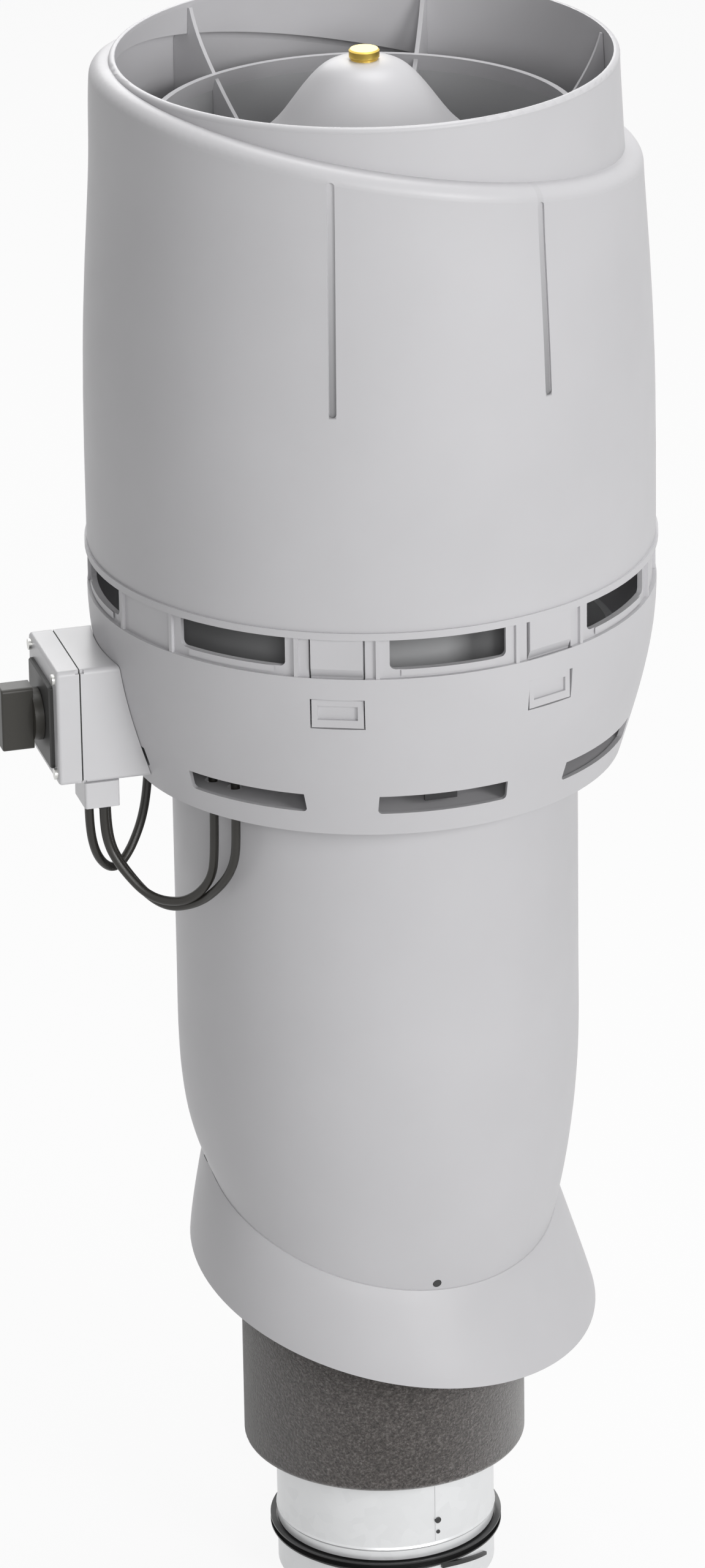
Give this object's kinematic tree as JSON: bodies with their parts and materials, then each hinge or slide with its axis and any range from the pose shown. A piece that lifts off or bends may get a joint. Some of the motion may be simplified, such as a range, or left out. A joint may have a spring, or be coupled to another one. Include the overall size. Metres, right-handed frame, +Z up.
{
  "type": "roof exhaust fan",
  "caption": "Roof exhaust fan with an insulated duct, sloped roof skirt, round hood with open outlet, and a side safety switch.",
  "frame": {"origin": "centre of the duct's lower end, on the fan's axis", "axes": "+Z up along the fan's axis, -Y the side that faces the viewer, +X to the viewer's right"},
  "size_m": [0.3624, 0.3136, 0.9073],
  "materials": {
    "grey_plastic": "light grey, satin moulded plastic",
    "box_plastic": "light grey, smooth moulded plastic",
    "dark_plastic": "dark grey moulded plastic",
    "knob_plastic": "near-black moulded plastic",
    "galvanised": "galvanised sheet steel, pale",
    "black_steel": "black coated steel",
    "core_steel": "plain machined steel",
    "screw_steel": "zinc plated",
    "dark_screw": "dark coated",
    "yellow_metal": "yellow passivated, bright",
    "foam": "dark open foam",
    "black_rubber": "black rubber",
    "cable_sheath": "near-black cable sheath"
  },
  "bodies": {
    "fan_body": {"inner_duct": "galvanised", "duct_seal": "black_rubber", "insulation_sleeve": "foam", "outer_pipe": "grey_plastic", "roof_skirt": "grey_plastic", "skirt_screws": "dark_screw", "lower_bowl": "grey_plastic", "bowl_brackets": "black_steel", "hood": "grey_plastic", "vane_ring": "grey_plastic", "motor_cowl": "grey_plastic", "cowl_stud": "core_steel", "cowl_washer": "yellow_metal", "cowl_nut": "yellow_metal", "fan_deck": "galvanised", "inlet_nozzle": "galvanised", "nozzle_screws": "screw_steel", "fan_housing": "dark_plastic", "housing_screws": "screw_steel", "motor_bracket": "galvanised", "bracket_screws": "screw_steel", "motor_stator": "core_steel", "motor_bearings": "core_steel", "switch_box_body": "box_plastic", "switch_box_gasket": "black_rubber", "switch_box_cover": "box_plastic", "cover_screws": "screw_steel", "box_screws": "screw_steel", "switch_plate": "dark_plastic", "switch_block": "dark_plastic", "gland_block": "box_plastic", "box_cable_grommets": "black_rubber", "deck_cable_grommets": "black_rubber", "cable_a": "cable_sheath", "cable_b": "cable_sheath", "cable_c": "cable_sheath"},
    "rotor": {"impeller": "dark_plastic", "rotor_can": "black_steel", "motor_shaft": "core_steel", "impeller_screws": "screw_steel"},
    "knob": {"switch_knob": "knob_plastic", "knob_shaft": "core_steel"}
  },
  "joints": [
    {"name": "impeller_spin", "type": "hinge", "parent": "fan_body", "child": "rotor", "pos_m": [0, 0, 0.62], "axis": [0, 0, 1], "continuous": true},
    {"name": "switch_knob_turn", "type": "hinge", "parent": "fan_body", "child": "knob", "pos_m": [-0.1823, -0.04987, 0.548], "axis": [-0.9646, -0.2639, 0], "range_deg": [0, 90]}
  ]
}
